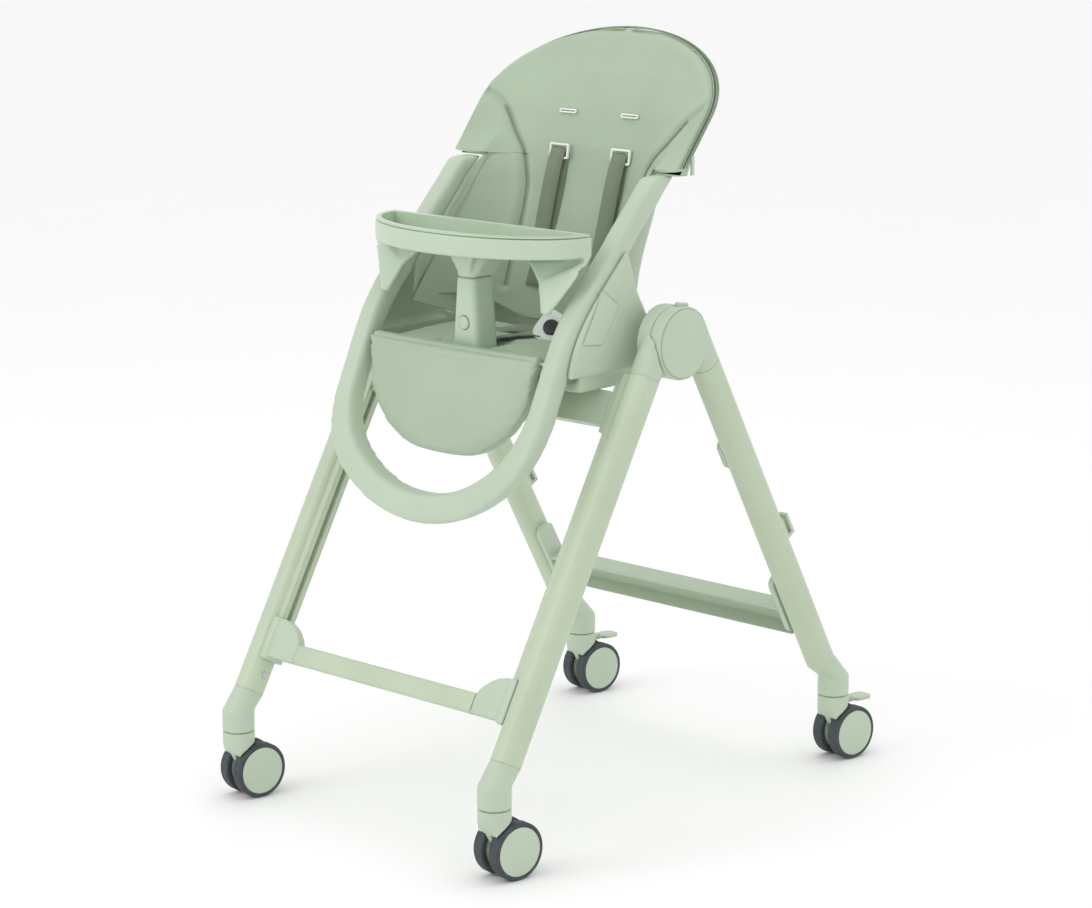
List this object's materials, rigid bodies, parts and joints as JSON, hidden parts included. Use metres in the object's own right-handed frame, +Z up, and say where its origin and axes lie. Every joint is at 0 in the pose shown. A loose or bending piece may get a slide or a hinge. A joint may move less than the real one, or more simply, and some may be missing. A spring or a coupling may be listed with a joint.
{
  "type": "folding baby high chair",
  "caption": "Folding A-frame baby high chair with a height-adjustable padded seat in a U-shaped hoop, reclining back, leg rest, lift-off tray and twin-wheel casters.",
  "frame": {"origin": "centre of the footprint's bounding box, on the floor", "axes": "+Z up, -Y towards the tray and the leg rest (the front), +X to the right seen from the front"},
  "size_m": [0.5596, 0.8042, 1.059],
  "materials": {
    "frame_tube": "satin powder coat, light sage",
    "frame_plastic": "fine satin texture, light sage",
    "seat_plastic": "satin, light sage",
    "padding": "soft satin leatherette, sage",
    "webbing": "woven webbing, sage",
    "white_plastic": "satin, off-white",
    "dark_plastic": "matt, dark grey",
    "tyre_rubber": "matt, dark grey",
    "steel": "plain"
  },
  "bodies": {
    "front_frame": {"front_leg_left": "frame_tube", "front_leg_right": "frame_tube", "front_crossbar": "frame_tube", "crossbar_brackets": "frame_plastic", "front_hub_socket_left": "frame_plastic", "front_hub_socket_right": "frame_plastic", "hub_axles": "steel", "front_foot_sockets": "frame_plastic", "frame_screws": "steel"},
    "rear_frame": {"rear_leg_left": "frame_tube", "rear_leg_right": "frame_tube", "rear_crossbar": "frame_plastic", "rear_hub_socket_left": "frame_plastic", "rear_hub_socket_right": "frame_plastic", "hub_caps": "frame_plastic", "rear_foot_sockets": "frame_plastic", "tray_hooks": "frame_plastic", "fold_catches": "frame_plastic"},
    "fold_button_left": {"fold_button_left": "frame_plastic"},
    "fold_button_right": {"fold_button_right": "frame_plastic"},
    "seat": {"carriage_beam": "seat_plastic", "slider_shoes": "dark_plastic", "seat_hoop": "seat_plastic", "seat_shell": "seat_plastic", "seat_pad": "padding", "crotch_post": "seat_plastic", "harness_buckle": "white_plastic", "crotch_strap": "webbing", "waist_straps": "webbing"},
    "height_trigger_left": {"height_trigger_left": "seat_plastic"},
    "height_trigger_right": {"height_trigger_right": "seat_plastic"},
    "post_button": {"post_button": "seat_plastic"},
    "buckle_button": {"buckle_button": "dark_plastic"},
    "backrest": {"back_shell": "seat_plastic", "back_pad": "padding", "strap_rings": "white_plastic", "strap_adjusters": "white_plastic", "shoulder_straps": "webbing", "recline_pins": "steel"},
    "recline_handle": {"recline_handle": "seat_plastic"},
    "zip_pull": {"zip_pull": "steel"},
    "legrest": {"legrest_panel": "seat_plastic", "calf_pad": "padding", "legrest_pins": "steel"},
    "tray": {"tray_body": "seat_plastic"},
    "tray_insert": {"tray_insert": "seat_plastic"},
    "caster_front_left": {"caster_body_front_left": "frame_plastic"},
    "wheels_front_left": {"wheel_hubs_front_left": "frame_plastic", "tyres_front_left": "tyre_rubber"},
    "caster_front_right": {"caster_body_front_right": "frame_plastic"},
    "wheels_front_right": {"wheel_hubs_front_right": "frame_plastic", "tyres_front_right": "tyre_rubber"},
    "caster_rear_left": {"caster_body_rear_left": "frame_plastic"},
    "wheels_rear_left": {"wheel_hubs_rear_left": "frame_plastic", "tyres_rear_left": "tyre_rubber"},
    "brake_lever_left": {"brake_lever_left": "frame_plastic"},
    "caster_rear_right": {"caster_body_rear_right": "frame_plastic"},
    "wheels_rear_right": {"wheel_hubs_rear_right": "frame_plastic", "tyres_rear_right": "tyre_rubber"},
    "brake_lever_right": {"brake_lever_right": "frame_plastic"}
  },
  "joints": [
    {"name": "leg_fold", "type": "hinge", "parent": "front_frame", "child": "rear_frame", "pos_m": [0, -0.038, 0.666], "axis": [-1, 0, 0], "range_deg": [0, 48]},
    {"name": "seat_height", "type": "slide", "parent": "front_frame", "child": "seat", "axis": [0, 0.4939, 0.8695], "range_m": [-0.18, 0]},
    {"name": "recline", "type": "hinge", "parent": "seat", "child": "backrest", "pos_m": [0, 0.008, 0.64], "axis": [-1, 0, 0], "range_deg": [0, 30]},
    {"name": "legrest_tilt", "type": "hinge", "parent": "seat", "child": "legrest", "pos_m": [0, -0.197, 0.645], "axis": [-1, 0, 0], "range_deg": [0, 50]},
    {"name": "tray_lift", "type": "slide", "parent": "seat", "child": "tray", "axis": [0, 0, 1], "range_m": [0, 0.06]},
    {"name": "tray_insert_lift", "type": "slide", "parent": "tray", "child": "tray_insert", "axis": [0, 0, 1], "range_m": [0, 0.03]},
    {"name": "post_button_press", "type": "slide", "parent": "seat", "child": "post_button", "axis": [0, 1, 0], "range_m": [0, 0.002], "stiffness_N_per_m": 400, "springref_m": -0.002},
    {"name": "buckle_button_press", "type": "slide", "parent": "seat", "child": "buckle_button", "axis": [0, 0, -1], "range_m": [0, 0.0015], "stiffness_N_per_m": 400, "springref_m": -0.002},
    {"name": "recline_handle_squeeze", "type": "slide", "parent": "backrest", "child": "recline_handle", "axis": [0, 0, 1], "range_m": [0, 0.01], "stiffness_N_per_m": 400, "springref_m": -0.003},
    {"name": "zip_pull_swing", "type": "hinge", "parent": "backrest", "child": "zip_pull", "pos_m": [0.2095, 0.046, 0.904], "axis": [1, 0, 0], "range_deg": [-80, 80]},
    {"name": "fold_button_press_left", "type": "slide", "parent": "rear_frame", "child": "fold_button_left", "axis": [0, -0.1392, -0.9903], "range_m": [0, 0.003], "stiffness_N_per_m": 600, "springref_m": -0.002},
    {"name": "height_trigger_press_left", "type": "slide", "parent": "seat", "child": "height_trigger_left", "axis": [1, 0, 0], "range_m": [0, 0.002], "stiffness_N_per_m": 600, "springref_m": -0.002},
    {"name": "fold_button_press_right", "type": "slide", "parent": "rear_frame", "child": "fold_button_right", "axis": [0, -0.1392, -0.9903], "range_m": [0, 0.003], "stiffness_N_per_m": 600, "springref_m": -0.002},
    {"name": "height_trigger_press_right", "type": "slide", "parent": "seat", "child": "height_trigger_right", "axis": [-1, 0, 0], "range_m": [0, 0.002], "stiffness_N_per_m": 600, "springref_m": -0.002},
    {"name": "swivel_front_left", "type": "hinge", "parent": "front_frame", "child": "caster_front_left", "pos_m": [-0.25, -0.38494, 0.097], "axis": [0, 0, 1], "continuous": true},
    {"name": "wheel_spin_front_left", "type": "hinge", "parent": "caster_front_left", "child": "wheels_front_left", "pos_m": [-0.24688, -0.36276, 0.0392], "axis": [0.9903, -0.1392, 0], "continuous": true},
    {"name": "swivel_front_right", "type": "hinge", "parent": "front_frame", "child": "caster_front_right", "pos_m": [0.25, -0.38494, 0.097], "axis": [0, 0, 1], "continuous": true},
    {"name": "wheel_spin_front_right", "type": "hinge", "parent": "caster_front_right", "child": "wheels_front_right", "pos_m": [0.25312, -0.36276, 0.0392], "axis": [0.9903, -0.1392, 0], "continuous": true},
    {"name": "swivel_rear_left", "type": "hinge", "parent": "rear_frame", "child": "caster_rear_left", "pos_m": [-0.25, 0.3278, 0.097], "axis": [0, 0, 1], "continuous": true},
    {"name": "wheel_spin_rear_left", "type": "hinge", "parent": "caster_rear_left", "child": "wheels_rear_left", "pos_m": [-0.24688, 0.34999, 0.0392], "axis": [0.9903, -0.1392, 0], "continuous": true},
    {"name": "brake_left", "type": "hinge", "parent": "caster_rear_left", "child": "brake_lever_left", "pos_m": [-0.24596, 0.35652, 0.0855], "axis": [-0.9903, 0.1392, 0], "range_deg": [0, 12]},
    {"name": "swivel_rear_right", "type": "hinge", "parent": "rear_frame", "child": "caster_rear_right", "pos_m": [0.25, 0.3278, 0.097], "axis": [0, 0, 1], "continuous": true},
    {"name": "wheel_spin_rear_right", "type": "hinge", "parent": "caster_rear_right", "child": "wheels_rear_right", "pos_m": [0.25312, 0.34999, 0.0392], "axis": [0.9903, -0.1392, 0], "continuous": true},
    {"name": "brake_right", "type": "hinge", "parent": "caster_rear_right", "child": "brake_lever_right", "pos_m": [0.25404, 0.35652, 0.0855], "axis": [-0.9903, 0.1392, 0], "range_deg": [0, 12]}
  ]
}
